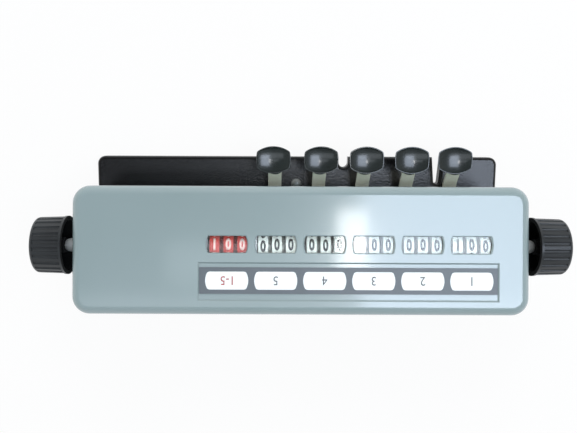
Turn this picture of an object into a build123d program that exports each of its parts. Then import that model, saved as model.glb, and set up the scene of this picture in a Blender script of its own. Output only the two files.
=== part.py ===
from build123d import *
from math import cos, pi, radians, sin, tan
import os

# Differential cell counter: five keyed counters and a total behind one sloping face.
# All lengths are in mm. The origin is on the bench, under the middle of the object.
# The user sits on the -Y side, +X is the user's right and +Z is up.

# Case
case_length = 230.8
face_depth = 65.6
face_tilt = 7.0
front_height = 51.8
front_edge_y = -23.2
cover_wall = 1.6
plan_corner_radius = 9.0
top_edge_radius = 4.5
post_radius = 3.5
post_inset_x = 8.0
post_front_reach = 14.0
post_back_inset = 8.0

# Base casting and what is under it
base_height = 7.0
base_front_reach = 13.0
base_back_reach = 3.0
base_corner_radius = 4.5
base_lip_radius = 1.8
base_wall = 2.5
base_top_wall = 3.0
foot_radius = 6.5
foot_drop = 2.5
foot_inset_x = 17.5
foot_inset_y = 9.5
foot_plug_radius = 2.0
foot_plug_length = 3.0
boss_wall = 1.5

# Notches in the base's front edge: place along X, width at the mouth and at the end, depth
shallow_notch = (-26.8, 5.5, 5.5, 6.0)
deep_notch = (-80.7, 5.4, 2.9, 15.3)

# Screws
screw_radius = 1.5
screw_head_radius = 2.8
screw_head_height = 2.0
screw_grip = 12.0
front_screw_x = 0.5
front_screw_reach = 2.4
front_screw_head_radius = 3.0
front_screw_head_height = 2.0
front_screw_length = 4.0

# Windows, lens and label
total_x = 37.07
window_pitch = 24.54
counter_count = 5
window_width = 20.7
window_height = 8.4
window_bow = 0.95
window_corner = 0.6
window_bevel = 0.5
window_back_gap = 36.2
lens_thickness = 0.6
lens_margin = 2.5
trough_width = 19.6
trough_back_gap = 7.7
trough_depth = 0.8
label_length = 149.5
label_width = 13.3
label_thickness = 0.5
label_centre_x = -23.88
label_back_gap = 18.05

# Number wheels
wheel_radius = 11.3
wheel_width = 5.0
wheel_pitch = 7.0
wheel_group_shift = -0.6
wheel_back_gap = 35.0
wheel_clearance = 0.4
wheel_rim = 1.6
wheel_hub_radius = 6.2
wheel_recess = 1.7
ratchet_teeth = 10
ratchet_radius = 5.0
ratchet_root_radius = 4.0
carry_root_radius = 3.4
ratchet_width = 1.4

# Shafts and knobs
shaft_radius = 2.5
journal_radius = 1.8
bush_radius = 3.5
bush_flange_radius = 5.5
bush_flange_width = 1.5
bush_inner_reach = 6.0
bush_outer_reach = 6.4
bush_dome_length = 3.2
knob_gap = 4.7
knob_length = 16.4
knob_flange_radius = 15.2
knob_flange_width = 1.3
knob_inner_radius = 14.8
knob_outer_radius = 14.4
knob_edge_radius = 1.8
knob_wall = 1.2
hub_clearance = 0.3
knob_hub_radius = 4.0
knob_recess_depth = 8.2
knob_face_thickness = 3.0
knob_grooves = 24
knob_groove_radius = 1.15
knob_groove_bite = 0.95

# Key levers, their caps and the rocking bar of the total; each lever was set by hand, so that the
# caps stand a little to one side or the other
cap_strays = (0.95, -0.4, -0.55, -0.6, 0.6)
pivot_back_gap = 14.7
pivot_height = 15.0
pivot_rod_radius = 2.0
eye_radius = 3.6
lever_width = 7.3
lever_thickness = 2.4
lever_crown = 0.9
lever_offset = 0.4
bend_reach = 2.9
bend_height = 9.5
bend_radius = 8.0
stem_top_reach = 9.9
stem_top_height = 21.4
finger_width = 1.0
finger_gap = 0.3
finger_root = 4.0
finger_thickness = 3.0
finger_bar_gap = 11.6
finger_nose_drop = 1.5
finger_nose_rise = 0.6
finger_tip_rise = 1.2
finger_lean = 0.1
slot_gap = 0.7
slot_height = 14.0
slot_depth = 8.2
cap_width = 18.7
cap_depth = 14.7
cap_side_bow = 0.45
cap_end_bow = 2.9
cap_corner = 1.8
cap_offset = 0.7
cap_reach = 12.0
cap_height = 26.0
cap_tilt = 1.0
cap_thickness = 4.6
cap_taper = 32.0
cap_body_taper = 16.0
cap_rim = 0.5
cap_rim_round = 0.2
cap_dish_depth = 2.0
cap_dish_radius = 26.0
cap_belly_radius = 14.0
cap_socket_radius = 4.4
cap_socket_length = 4.0
cap_tongue_width = 6.0
cap_tongue_shoulder = 5.6
cap_tongue_length = 9.8
cap_tongue_thickness = 0.8
bail_reach = 20.0
bail_height = 4.3
bail_depth = 3.0
bail_thickness = 2.0
bail_arm_offset = 5.5
bail_arm_width = 2.0

# Frame inside the case
plate_thickness = 1.5
middle_plate_thickness = 3.0
plate_offset = 10.95
plate_front_reach = 8.2
plate_back_gap = 7.1
plate_shoulder = 22.0
plate_roof_gap = 6.0
plate_top_front = 14.0
plate_top_back_gap = 11.6
plate_back_shoulder = 30.0
arch_front_reach = 17.0
arch_pivot_gap = 6.4
arch_height = 8.5
plate_corner = 2.5
tie_rod_radius = 2.0
tie_front_height = 27.0
tie_back_gap = 11.1
tie_back_height = 26.0
rod_overhang = 1.0
rest_bar_inset = 1.5
rest_bar_depth = 4.5
rest_bar_thickness = 3.0
felt_thickness = 1.0
felt_gap = 0.3
click_back_gap = 16.6
click_bar_size = 4.0
click_lift = 1.0
click_thickness = 0.4
click_tip_rise = 0.2

# Springs under the levers
spring_width = 4.0
spring_thickness = 0.4
spring_gap = 0.3
spring_tip_reach = 27.5
spring_foot_reach = 36.0
spring_foot_length = 6.0
spring_bend = 1.5
bail_spring_foot_reach = 34.0

# Bell
gong_side_gap = 43.4
gong_reach = 27.0
gong_radius = 17.0
gong_rise = 8.0
gong_bulge = 2.0
gong_wall = 1.2
gong_rim_height = 12.5
gong_hole_radius = 1.5
bell_post_radius = 2.5
bell_nut_radius = 3.0
bell_nut_height = 2.4
bracket_side_gap = 23.4
bracket_reach = 5.0
hammer_width = 6.0
hammer_arm_thickness = 2.0
hammer_head_radius = 3.0
hammer_head_length = 4.0
hammer_reach = 14.0
hammer_rise = 9.5

# Fits
running_fit = 0.05
slip_fit = 0.02
end_play = 0.1
cut_through = 1.0

os.makedirs("parts", exist_ok=True)

# Places that follow from the sizes
tilt = radians(face_tilt)
base_underside_z = foot_drop
base_top_z = foot_drop + base_height
front_edge_z = base_top_z + front_height
back_wall_y = front_edge_y + face_depth * cos(tilt)
side_wall_x = case_length / 2
base_front_y = front_edge_y - base_front_reach
base_back_y = back_wall_y + base_back_reach
base_middle_y = (base_front_y + base_back_y) / 2
wheel_axis_depth = cover_wall + lens_thickness + wheel_clearance + wheel_radius
window_along = face_depth - window_back_gap
wheel_axis_along = face_depth - wheel_back_gap
trough_along = face_depth - trough_back_gap - trough_width / 2
label_along = face_depth - label_back_gap
face_plane = Plane(
    origin=(0, front_edge_y, front_edge_z), x_dir=(1, 0, 0), z_dir=(0, -sin(tilt), cos(tilt))
)
station_xs = [total_x - window_pitch * (counter_count - i) for i in range(counter_count + 1)]
counter_xs = station_xs[:-1]
back_reach = back_wall_y - front_edge_y
pivot_reach = back_reach - pivot_back_gap
pivot_y = front_edge_y + pivot_reach
pivot_z = base_top_z + pivot_height


def on_face(along, depth):
    """Y and Z of a point at a distance along the face and a depth below it."""
    y = front_edge_y + along * cos(tilt) + depth * sin(tilt)
    z = front_edge_z + along * sin(tilt) - depth * cos(tilt)
    return y, z


def inside(reach, height):
    """Y and Z of a point at a reach behind the face's front edge and a height above the base."""
    return front_edge_y + reach, base_top_z + height


wheel_axis_y, wheel_axis_z = on_face(wheel_axis_along, wheel_axis_depth)
wheel_axis_reach = wheel_axis_y - front_edge_y
shaft_axis = Axis((0, wheel_axis_y, wheel_axis_z), (1, 0, 0))


def save(piece, name):
    """Labels a finished piece and writes it."""
    piece.part.label = name
    export_step(piece.part, f"parts/{name}.step")


def rod_along_x(y, z, radius, start, end):
    """A round rod parallel to X."""
    with BuildPart() as rod:
        with BuildSketch(Plane.YZ.offset(start)):
            with Locations((y, z)):
                Circle(radius)
        extrude(amount=end - start)
    return rod.part


# Cover


def cover_block(inset, foot_z):
    """The case's outer form, drawn in by an inset and reaching down to foot_z."""
    front_y, front_z = on_face(inset, inset)
    foot_y = front_y + (front_z - foot_z) * tan(tilt)
    back_y = back_wall_y - inset
    back_along = (back_y - front_edge_y - inset * sin(tilt)) / cos(tilt)
    with BuildPart() as block:
        with BuildSketch(Plane.YZ):
            with BuildLine():
                Polyline(
                    (foot_y, foot_z),
                    (front_y, front_z),
                    on_face(back_along, inset),
                    (back_y, foot_z),
                    close=True,
                )
            make_face()
        extrude(amount=side_wall_x - inset, both=True)
        uprights = block.edges().filter_by(lambda edge: abs(edge.tangent_at(0.5).Z) > 0.5)
        fillet(uprights, plan_corner_radius - inset)
        roof = block.faces().sort_by(Axis.Z)[-1]
        fillet(roof.edges(), top_edge_radius - inset)
    return block.part


def window_outline(grow=0.0):
    """A window with flat long edges and bowed ends."""
    half_width = window_width / 2 - window_bow + grow
    half_height = window_height / 2 + grow
    corners = [
        (half_width, -half_height),
        (half_width, half_height),
        (-half_width, half_height),
        (-half_width, -half_height),
    ]
    with BuildSketch() as outline:
        with BuildLine():
            SagittaArc(corners[0], corners[1], -window_bow)
            Line(corners[1], corners[2])
            SagittaArc(corners[2], corners[3], -window_bow)
            Line(corners[3], corners[0])
        make_face()
        fillet(outline.vertices(), window_corner + grow)
    return outline.sketch


post_spots = [
    (side * (side_wall_x - post_inset_x), y)
    for side in (-1, 1)
    for y in (front_edge_y + post_front_reach, back_wall_y - post_back_inset)
]
lever_xs = [x + lever_offset for x in counter_xs]
trough_size = (label_length + 2 * (trough_depth + slip_fit), trough_width)
trough_spot = (label_centre_x, trough_along)
cavity = cover_block(cover_wall, base_top_z - cut_through)

with BuildPart() as cover_posts:
    with BuildSketch(Plane.XY.offset(base_top_z)):
        with Locations(*post_spots):
            Circle(post_radius)
    extrude(amount=front_height * 2)
    add(cavity, mode=Mode.INTERSECT)

with BuildPart() as cover:
    add(cover_block(0, base_top_z))
    add(cavity, mode=Mode.SUBTRACT)
    add(cover_posts.part)
    # Backing that keeps the wall's thickness under the label trough
    with BuildSketch(face_plane.offset(-cover_wall - trough_depth)):
        with Locations(trough_spot):
            Rectangle(trough_size[0] + 2 * cover_wall, trough_size[1] + 2 * cover_wall)
    extrude(amount=trough_depth)
    with BuildSketch(face_plane):
        with Locations(trough_spot):
            Rectangle(*trough_size)
    extrude(amount=-trough_depth, taper=45, mode=Mode.SUBTRACT)
    with BuildSketch(face_plane):
        with Locations(*[(x, window_along) for x in station_xs]):
            add(window_outline())
    extrude(amount=-cover_wall * 2, mode=Mode.SUBTRACT)
    with BuildSketch(face_plane):
        with Locations(*[(x, window_along) for x in station_xs]):
            add(window_outline(window_bevel))
    extrude(amount=-window_bevel, taper=45, mode=Mode.SUBTRACT)
    # Slots in the front wall's lower edge, one for each lever
    with BuildSketch(Plane.XZ.offset(-front_edge_y)):
        with Locations(*[(x, base_top_z + slot_height / 2) for x in lever_xs]):
            Rectangle(lever_width + 2 * slot_gap, slot_height)
    extrude(amount=-slot_depth, mode=Mode.SUBTRACT)
    # Holes for the shaft bushes in both end walls
    add(
        rod_along_x(wheel_axis_y, wheel_axis_z, bush_radius + slip_fit, -case_length, case_length),
        mode=Mode.SUBTRACT,
    )
    # Screw holes up the posts
    with BuildSketch(Plane.XY.offset(base_top_z)):
        with Locations(*post_spots):
            Circle(screw_radius + slip_fit)
    extrude(amount=screw_grip + cut_through, mode=Mode.SUBTRACT)
save(cover, "cover")

with BuildPart() as window_lens:
    with BuildSketch(face_plane.offset(-cover_wall - lens_thickness)):
        with Locations(((station_xs[0] + station_xs[-1]) / 2, window_along)):
            Rectangle(
                station_xs[-1] - station_xs[0] + window_width + 2 * lens_margin,
                window_height + 2 * lens_margin,
            )
    extrude(amount=lens_thickness)
save(window_lens, "window_lens")

with BuildPart() as label_plate:
    with BuildSketch(face_plane.offset(-trough_depth)):
        with Locations((label_centre_x, label_along)):
            Rectangle(label_length, label_width)
    extrude(amount=label_thickness)
save(label_plate, "label_plate")


# Base casting


def notch_outline(notch, grow=0.0):
    """A notch that runs in from the base's front edge to a round end."""
    x, mouth, end, depth = notch
    end_radius = end / 2 + grow
    half_mouth = mouth / 2 + grow
    front = base_front_y - cut_through
    end_y = base_front_y + depth + grow - end_radius
    with BuildSketch() as outline:
        with BuildLine():
            Line((x - end_radius, end_y), (x - half_mouth, front))
            Line((x - half_mouth, front), (x + half_mouth, front))
            Line((x + half_mouth, front), (x + end_radius, end_y))
            ThreePointArc((x + end_radius, end_y), (x, end_y + end_radius), (x - end_radius, end_y))
        make_face()
    return outline.sketch


foot_spots = [
    (side * (side_wall_x - foot_inset_x), y)
    for side in (-1, 1)
    for y in (base_front_y + foot_inset_y, base_back_y - foot_inset_y)
]
front_screw_spot = (front_screw_x, front_edge_y + front_screw_reach)
base_size = (case_length, base_back_y - base_front_y)
pocket_height = base_height - base_top_wall

with BuildPart() as base_casting:
    with BuildSketch(Plane.XY.offset(base_underside_z)):
        with Locations((0, base_middle_y)):
            RectangleRounded(*base_size, base_corner_radius)
        for notch in (shallow_notch, deep_notch):
            add(notch_outline(notch), mode=Mode.SUBTRACT)
    extrude(amount=base_height)
    fillet(base_casting.faces().sort_by(Axis.Z)[-1].outer_wire().edges(), base_lip_radius)
    # Open pocket underneath, with a wall round each notch and bosses for feet and screws
    with BuildSketch(Plane.XY.offset(base_underside_z)):
        with Locations((0, base_middle_y)):
            RectangleRounded(
                base_size[0] - 2 * base_wall,
                base_size[1] - 2 * base_wall,
                base_corner_radius - base_wall,
            )
        for notch in (shallow_notch, deep_notch):
            add(notch_outline(notch, base_wall), mode=Mode.SUBTRACT)
        with Locations(*foot_spots):
            Circle(foot_radius + boss_wall, mode=Mode.SUBTRACT)
        with Locations(*post_spots):
            Circle(screw_head_radius + boss_wall, mode=Mode.SUBTRACT)
        with Locations(front_screw_spot):
            Circle(screw_radius + 2 * boss_wall, mode=Mode.SUBTRACT)
    extrude(amount=pocket_height, mode=Mode.SUBTRACT)
    with BuildSketch(Plane.XY.offset(base_underside_z)):
        with Locations(*foot_spots):
            Circle(foot_plug_radius + slip_fit)
    extrude(amount=foot_plug_length + slip_fit, mode=Mode.SUBTRACT)
    with BuildSketch(Plane.XY.offset(base_underside_z)):
        with Locations(*post_spots):
            Circle(screw_radius + slip_fit)
    extrude(amount=base_height, mode=Mode.SUBTRACT)
    with BuildSketch(Plane.XY.offset(base_underside_z)):
        with Locations(*post_spots):
            Circle(screw_head_radius + running_fit)
    extrude(amount=screw_head_height, mode=Mode.SUBTRACT)
    with BuildSketch(Plane.XY.offset(base_top_z)):
        with Locations(front_screw_spot):
            Circle(screw_radius + slip_fit)
    extrude(amount=-front_screw_length, mode=Mode.SUBTRACT)
save(base_casting, "base_casting")

with BuildPart() as feet:
    with BuildSketch(Plane.XY):
        with Locations(*foot_spots):
            Circle(foot_radius)
    extrude(amount=foot_drop)
    with BuildSketch(Plane.XY.offset(foot_drop)):
        with Locations(*foot_spots):
            Circle(foot_plug_radius)
    extrude(amount=foot_plug_length)
save(feet, "feet")

with BuildPart() as cover_screws:
    with BuildSketch(Plane.XY.offset(base_underside_z)):
        with Locations(*post_spots):
            Circle(screw_head_radius)
    extrude(amount=screw_head_height)
    with BuildSketch(Plane.XY.offset(base_underside_z + screw_head_height)):
        with Locations(*post_spots):
            Circle(screw_radius)
    extrude(amount=base_height - screw_head_height + screw_grip)
save(cover_screws, "cover_screws")

with BuildPart() as base_screw:
    dome_radius = (
        front_screw_head_radius**2 + front_screw_head_height**2
    ) / (2 * front_screw_head_height)
    with BuildSketch(Plane.XY.offset(base_top_z)):
        with Locations(front_screw_spot):
            Circle(front_screw_head_radius)
    extrude(amount=front_screw_head_height)
    with Locations((*front_screw_spot, base_top_z + front_screw_head_height - dome_radius)):
        Sphere(dome_radius, mode=Mode.INTERSECT)
    with BuildSketch(Plane.XY.offset(base_top_z)):
        with Locations(front_screw_spot):
            Circle(screw_radius)
    extrude(amount=-front_screw_length)
save(base_screw, "base_screw")


# Shafts, bushes and knobs

middle_plate_x = counter_xs[-1] + plate_offset
journal_start = side_wall_x - cover_wall - bush_inner_reach
bush_end = side_wall_x + bush_outer_reach
knob_start = side_wall_x + knob_gap
knob_end = knob_start + knob_length
hub_start = bush_end + hub_clearance
journal_end = knob_end - knob_face_thickness
journal_bore = journal_radius + running_fit


def reset_shaft(side):
    """A stepped shaft from the middle plate out to its knob, on the side given by -1 or 1."""
    start = middle_plate_x + side * end_play
    with BuildPart() as shaft:
        with BuildSketch(Plane.YZ.offset(start)):
            with Locations((wheel_axis_y, wheel_axis_z)):
                Circle(shaft_radius)
        extrude(amount=side * journal_start - start)
        with BuildSketch(Plane.YZ.offset(side * journal_start)):
            with Locations((wheel_axis_y, wheel_axis_z)):
                Circle(journal_radius)
        extrude(amount=side * (journal_end - journal_start - end_play))
    return shaft


def on_shaft(x, radius):
    """A point of a turned profile, in the plane of X and Z through the shaft's axis."""
    return x, wheel_axis_z + radius


turning_plane = Plane.XZ.offset(-wheel_axis_y)

with BuildPart() as bush_right:
    flange_end = side_wall_x - cover_wall
    with BuildSketch(turning_plane):
        with BuildLine():
            Polyline(
                on_shaft(bush_end, journal_bore),
                on_shaft(journal_start + running_fit, journal_bore),
                on_shaft(journal_start + running_fit, bush_radius),
                on_shaft(flange_end - bush_flange_width, bush_radius),
                on_shaft(flange_end - bush_flange_width, bush_flange_radius),
                on_shaft(flange_end, bush_flange_radius),
                on_shaft(flange_end, bush_radius),
                on_shaft(bush_end - bush_dome_length, bush_radius),
            )
            EllipticalCenterArc(
                on_shaft(bush_end - bush_dome_length, journal_bore),
                bush_dome_length,
                bush_radius - journal_bore,
                arc_size=90,
            )
        make_face()
    revolve(axis=shaft_axis)

with BuildPart() as shaft_bushes:
    add(bush_right.part)
    mirror(bush_right.part, about=Plane.YZ)
save(shaft_bushes, "shaft_bushes")

with BuildPart() as knob_right:
    with BuildSketch(turning_plane):
        with BuildLine():
            ribs_start = knob_start + knob_flange_width
            ribs_end = knob_end - knob_edge_radius
            Polyline(
                on_shaft(knob_end, 0),
                on_shaft(knob_start, 0),
                on_shaft(knob_start, knob_flange_radius),
                on_shaft(ribs_start, knob_flange_radius),
                on_shaft(ribs_start, knob_inner_radius),
                on_shaft(ribs_end, knob_outer_radius),
            )
            edge_end = on_shaft(knob_end, knob_outer_radius - knob_edge_radius)
            RadiusArc(on_shaft(ribs_end, knob_outer_radius), edge_end, knob_edge_radius)
            Line(edge_end, on_shaft(knob_end, 0))
        make_face()
    revolve(axis=shaft_axis)
    # Hollow inner face round the hub, which stands back from the bush
    with BuildSketch(Plane.YZ.offset(knob_start)):
        with Locations((wheel_axis_y, wheel_axis_z)):
            Circle(knob_outer_radius - knob_wall)
            Circle(knob_hub_radius, mode=Mode.SUBTRACT)
    extrude(amount=knob_recess_depth, mode=Mode.SUBTRACT)
    with BuildSketch(Plane.YZ.offset(knob_start)):
        with Locations((wheel_axis_y, wheel_axis_z)):
            Circle(knob_hub_radius)
    extrude(amount=hub_start - knob_start, mode=Mode.SUBTRACT)
    with BuildSketch(Plane.YZ.offset(hub_start)):
        with Locations((wheel_axis_y, wheel_axis_z)):
            Circle(journal_radius + slip_fit)
    extrude(amount=journal_end - hub_start, mode=Mode.SUBTRACT)
    with BuildSketch(Plane.YZ.offset(ribs_start)):
        with Locations((wheel_axis_y, wheel_axis_z)):
            groove_circle = knob_inner_radius - knob_groove_bite + knob_groove_radius
            with PolarLocations(groove_circle, knob_grooves):
                Circle(knob_groove_radius)
    extrude(amount=ribs_end - ribs_start, mode=Mode.SUBTRACT)
save(knob_right, "knob_right")

with BuildPart() as knob_left:
    mirror(knob_right.part, about=Plane.YZ)
save(knob_left, "knob_left")

save(reset_shaft(-1), "reset_shaft_left")
save(reset_shaft(1), "reset_shaft_right")


# Number wheels

lane_xs = [wheel_group_shift + wheel_pitch * step - wheel_width / 2 for step in (-1, 0, 1)]


def ratchet_outline(has_carry):
    """Saw teeth whose radial faces are pulled down by the pawl; one gap is deeper for the carry."""
    pitch = 2 * pi / ratchet_teeth
    points = []
    for tooth in range(ratchet_teeth):
        angle = pitch * (tooth + ratchet_teeth / 2)
        root = carry_root_radius if has_carry and tooth == 0 else ratchet_root_radius
        for radius in (root, ratchet_radius):
            points.append((radius * cos(angle), radius * sin(angle)))
    return points


def number_wheel(face_x, has_carry):
    """A wheel whose left face is at face_x, with its ratchet on that face."""
    with BuildPart() as wheel:
        with BuildSketch(Plane.YZ.offset(face_x)):
            with Locations((wheel_axis_y, wheel_axis_z)):
                Circle(wheel_radius)
        extrude(amount=wheel_width)
        # Hollow sides between the rim and the hub
        for side_plane, inward in (
            (Plane.YZ.offset(face_x), wheel_recess),
            (Plane.YZ.offset(face_x + wheel_width), -wheel_recess),
        ):
            with BuildSketch(side_plane):
                with Locations((wheel_axis_y, wheel_axis_z)):
                    Circle(wheel_radius - wheel_rim)
                    Circle(wheel_hub_radius, mode=Mode.SUBTRACT)
            extrude(amount=inward, mode=Mode.SUBTRACT)
        with BuildSketch(Plane.YZ.offset(face_x)):
            with Locations((wheel_axis_y, wheel_axis_z)):
                Polygon(*ratchet_outline(has_carry), align=None)
        extrude(amount=-ratchet_width)
        with BuildSketch(Plane.YZ.offset(face_x - ratchet_width)):
            with Locations((wheel_axis_y, wheel_axis_z)):
                Circle(shaft_radius + running_fit)
        extrude(amount=ratchet_width + wheel_width, mode=Mode.SUBTRACT)
    return wheel


station_names = [f"counter_{i + 1}" for i in range(counter_count)] + ["total"]
for station, station_x in zip(station_names, station_xs):
    for place, lane_x in zip(("hundreds", "tens", "units"), lane_xs):
        save(number_wheel(station_x + lane_x, place != "hundreds"), f"{station}_{place}_wheel")


# Key levers

lever_slope = (pivot_height - bend_height) / (pivot_reach - bend_reach)


def lever_z(reach, lift=0.0):
    """Height of the straight part of a lever above or below its middle, at a reach."""
    return pivot_z - (pivot_reach - reach) * lever_slope + lift


finger_bar_reach = wheel_axis_reach - finger_bar_gap
finger_bar_spot = (
    front_edge_y + finger_bar_reach + finger_root / 2,
    lever_z(finger_bar_reach + finger_root / 2, lever_thickness / 2),
)


def pawl_fingers(x):
    """Three fingers on a cross bar that stand in front of the ratchets of the station at x."""
    root_y = finger_bar_spot[0] - finger_root / 2
    root_z = finger_bar_spot[1]
    nose_y = wheel_axis_y - ratchet_radius - finger_gap
    with BuildPart() as fingers:
        for lane_x in lane_xs:
            with BuildSketch(Plane.YZ.offset(x + lane_x - finger_gap - finger_width)):
                with BuildLine():
                    Polyline(
                        (root_y, root_z),
                        (root_y + finger_root, root_z),
                        (nose_y - finger_lean, wheel_axis_z - finger_nose_drop),
                        (nose_y, wheel_axis_z + finger_nose_rise),
                        (nose_y - finger_thickness, wheel_axis_z + finger_tip_rise),
                        close=True,
                    )
                make_face()
            extrude(amount=finger_width)
        bar_start = x + lane_xs[0] - finger_gap - finger_width
        bar_end = x + lane_xs[2] - finger_gap
        with BuildSketch(Plane.YZ.offset(bar_start)):
            with Locations(finger_bar_spot):
                Rectangle(finger_root, lever_thickness)
        extrude(amount=bar_end - bar_start)
    return fingers.part


def lever_eye(x_start, width):
    """The ring that turns on the pivot rod."""
    with BuildPart() as eye:
        with BuildSketch(Plane.YZ.offset(x_start)):
            with Locations((pivot_y, pivot_z)):
                Circle(eye_radius)
                Circle(pivot_rod_radius + running_fit, mode=Mode.SUBTRACT)
        extrude(amount=width)
    return eye.part


def strip_section():
    """The strip's section: flat underneath, crowned on top."""
    half_width = lever_width / 2
    top = lever_thickness / 2 - lever_crown
    with BuildSketch() as section:
        with BuildLine():
            Polyline(
                (-half_width, top),
                (-half_width, -lever_thickness / 2),
                (half_width, -lever_thickness / 2),
                (half_width, top),
            )
            ThreePointArc((half_width, top), (0, lever_thickness / 2), (-half_width, top))
        make_face()
    return section.sketch


def lever_strip(x, points):
    """A crowned strip along a bent line of Y and Z points, its middle at x."""
    start = Vector(x, *points[0])
    ahead = (Vector(x, *points[1]) - start).normalized()
    with BuildPart() as strip:
        with BuildLine() as path:
            line_points = [(x, y, z) for y, z in points]
            if len(line_points) == 2:
                Line(*line_points)
            else:
                FilletPolyline(*line_points, radius=bend_radius)
        with BuildSketch(Plane(origin=start, x_dir=(1, 0, 0), z_dir=ahead * -1)):
            add(strip_section())
        sweep(path=path.line)
    return strip.part


eye_joint_reach = pivot_reach - (eye_radius + pivot_rod_radius) / 2
strip_start = (front_edge_y + eye_joint_reach, lever_z(eye_joint_reach))
stem_top = inside(-stem_top_reach, stem_top_height)


def key_lever(x):
    """One key's lever: eye, strip bent up through the front slot, and pawl fingers."""
    points = [strip_start, inside(bend_reach, bend_height), stem_top]
    with BuildPart() as lever:
        add(lever_eye(x + lever_offset - lever_width / 2, lever_width))
        add(lever_strip(x + lever_offset, points))
        add(pawl_fingers(x))
    return lever


def cap_outline():
    """The rim of a finger cap, seen from above: bowed sides, rounder front and back."""
    half_width = cap_width / 2 - cap_side_bow
    half_depth = cap_depth / 2 - cap_end_bow
    corners = [
        (half_width, -half_depth),
        (half_width, half_depth),
        (-half_width, half_depth),
        (-half_width, -half_depth),
    ]
    with BuildSketch() as outline:
        with BuildLine():
            SagittaArc(corners[0], corners[1], -cap_side_bow)
            SagittaArc(corners[1], corners[2], -cap_end_bow)
            SagittaArc(corners[2], corners[3], -cap_side_bow)
            SagittaArc(corners[3], corners[0], -cap_end_bow)
        make_face()
        fillet(outline.vertices(), cap_corner)
    return outline.sketch


def cap_dish(cap_plane):
    """The hollow of a finger cap, inside its rim: a spherical floor and a short sloping wall."""
    with BuildPart() as dish:
        with BuildSketch(cap_plane):
            add(cap_outline())
            offset(amount=-cap_rim, mode=Mode.REPLACE)
        extrude(amount=-cap_dish_depth, taper=cap_taper)
        with Locations(cap_plane.offset(cap_dish_radius - cap_dish_depth)):
            Sphere(cap_dish_radius, mode=Mode.INTERSECT)
    return dish.part


def key_cap(x, stray, lever):
    """A dished finger cap with a socket and a pointed tongue that sit on the lever's stem."""
    rim_y, rim_z = inside(-cap_reach, cap_height)
    lean = radians(cap_tilt)
    cap_plane = Plane(
        origin=(x + cap_offset + stray, rim_y, rim_z), x_dir=(1, 0, 0), z_dir=(0, -sin(lean), cos(lean))
    )
    dish = cap_dish(cap_plane)
    bend_y, bend_z = inside(bend_reach, bend_height)
    down_stem = Vector(0, bend_y - stem_top[0], bend_z - stem_top[1]).normalized()
    stem_end = Vector(x + lever_offset, *stem_top)
    socket_plane = Plane(origin=stem_end, x_dir=(1, 0, 0), z_dir=down_stem)
    over_stem = Vector(1, 0, 0).cross(down_stem) * -1
    tongue_plane = Plane(
        origin=stem_end + over_stem * (lever_thickness / 2 - lever_crown),
        x_dir=(1, 0, 0),
        z_dir=over_stem,
    )
    tongue_side = tongue_plane.to_local_coords(stem_end + down_stem).Y
    with BuildPart() as cap:
        with BuildSketch(cap_plane):
            add(cap_outline())
        extrude(amount=-cap_thickness, taper=cap_body_taper)
        with Locations(cap_plane.offset(cap_belly_radius - cap_thickness)):
            Sphere(cap_belly_radius, mode=Mode.INTERSECT)
        top = cap.faces().filter_by(GeomType.PLANE).sort_by(Axis.Z)[-1]
        fillet(top.edges(), cap_rim_round)
        with BuildSketch(socket_plane):
            Circle(cap_socket_radius)
        extrude(amount=cap_socket_length)
        with BuildSketch(tongue_plane):
            half_width = cap_tongue_width / 2
            Polygon(
                (-half_width, 0),
                (half_width, 0),
                (half_width, tongue_side * cap_tongue_shoulder),
                (0, tongue_side * cap_tongue_length),
                (-half_width, tongue_side * cap_tongue_shoulder),
                align=None,
            )
        extrude(amount=lever_crown + cap_tongue_thickness)
        add(dish, mode=Mode.SUBTRACT)
        add(lever, mode=Mode.SUBTRACT)
    return cap


for index, (station_x, stray) in enumerate(zip(counter_xs, cap_strays)):
    lever = key_lever(station_x)
    save(lever, f"key_lever_{index + 1}")
    save(key_cap(station_x, stray, lever.part), f"key_cap_{index + 1}")


# Rocking bar of the total

bail_bar_spot = inside(bail_reach + bail_depth / 2, bail_height + bail_thickness / 2)
bail_start = station_xs[0] + bail_arm_offset
bail_end = total_x + lever_offset + lever_width / 2


def bail_arm(x_start, width, rises_to=None):
    """A side arm from the eye down to the bar, which may also rise to a point above it."""
    with BuildPart() as arm:
        with BuildSketch(Plane.YZ.offset(x_start)):
            with Locations((pivot_y, pivot_z)):
                Circle(eye_radius)
            with Locations(bail_bar_spot):
                Rectangle(bail_depth, bail_thickness)
            if rises_to:
                with Locations(rises_to):
                    Rectangle(finger_root, lever_thickness)
            make_hull()
            with Locations((pivot_y, pivot_z)):
                Circle(pivot_rod_radius + running_fit, mode=Mode.SUBTRACT)
        extrude(amount=width)
    return arm.part


with BuildPart() as total_bail:
    with BuildSketch(Plane.YZ.offset(bail_start)):
        with Locations(bail_bar_spot):
            Rectangle(bail_depth, bail_thickness)
    extrude(amount=bail_end - bail_start)
    add(bail_arm(bail_start, bail_arm_width))
    add(bail_arm(total_x + lever_offset - lever_width / 2, lever_width, finger_bar_spot))
    add(pawl_fingers(total_x))
save(total_bail, "total_bail")


# Springs under the levers


def leaf_spring(x, foot_reach, tip):
    """A bent leaf from a foot on the base up to a tip under a lever."""
    foot_z = base_top_z + spring_thickness / 2
    points = [
        (x, front_edge_y + foot_reach + spring_foot_length, foot_z),
        (x, front_edge_y + foot_reach, foot_z),
        (x, tip[0], tip[1] - spring_thickness / 2),
    ]
    with BuildPart() as spring:
        with BuildLine() as path:
            FilletPolyline(*points, radius=spring_bend)
        with BuildSketch(Plane(origin=points[0], x_dir=(1, 0, 0), z_dir=(0, -1, 0))):
            Rectangle(spring_width, spring_thickness)
        sweep(path=path.line)
    return spring


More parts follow.
